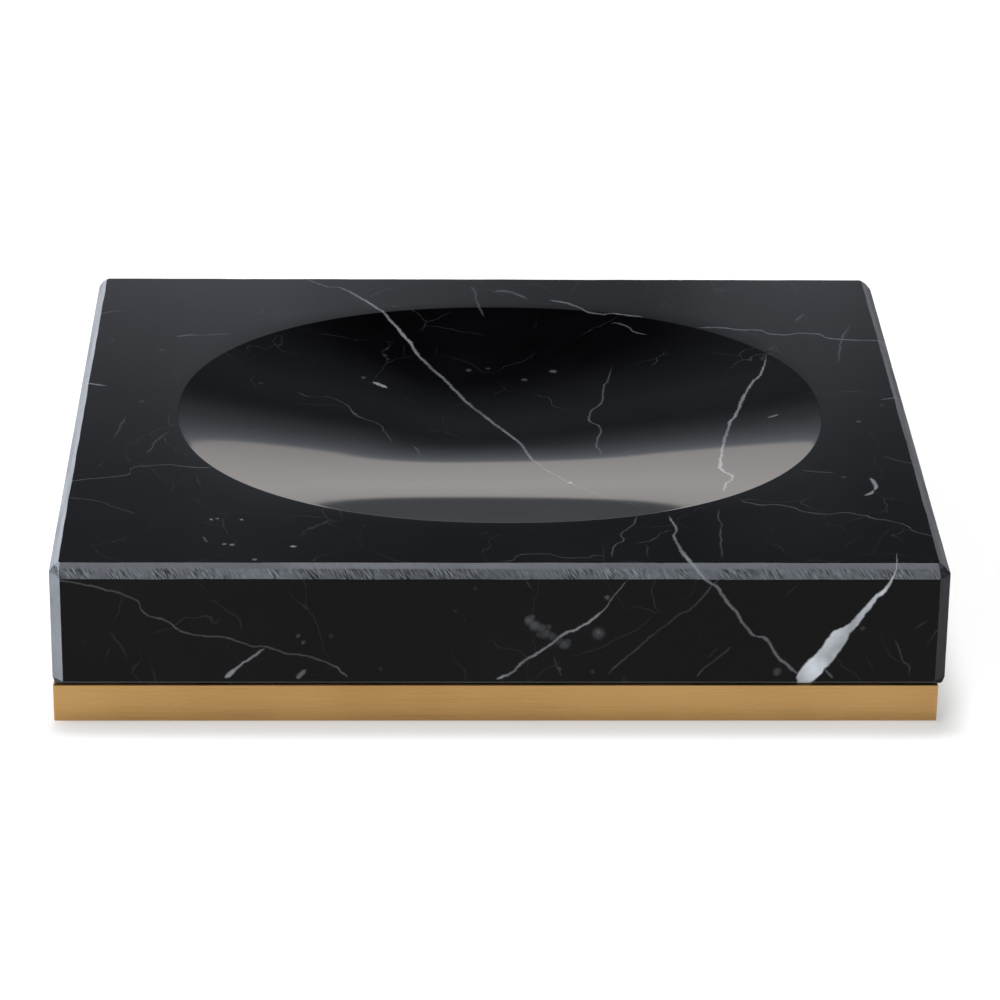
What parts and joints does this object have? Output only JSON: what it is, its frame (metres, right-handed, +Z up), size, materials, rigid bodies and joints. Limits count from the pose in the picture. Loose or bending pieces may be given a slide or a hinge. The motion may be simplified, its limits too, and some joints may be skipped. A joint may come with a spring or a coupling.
{
  "type": "soap dish",
  "caption": "Low rectangular soap dish: a polished black marble slab with a shallow oval bowl ground into its top, bonded to a brushed brass base plate on low silicone feet.",
  "frame": {"origin": "on the surface that the dish stands on, under the middle of the marble slab", "axes": "+Z up, +X to the right and +Y to the back, seen from the front"},
  "size_m": [0.12, 0.108, 0.0235],
  "materials": {
    "black_marble": "polished, with white and grey veins and ground grey arrises",
    "brushed_brass": "satin, brushed along the edge",
    "adhesive": "matt",
    "silicone": "matt, slightly cloudy"
  },
  "bodies": {
    "root": {"marble_dish": "black_marble", "brass_base": "brushed_brass", "bond_layer": "adhesive", "foot_front_left": "silicone", "foot_front_right": "silicone", "foot_back_left": "silicone", "foot_back_right": "silicone"}
  },
  "joints": []
}
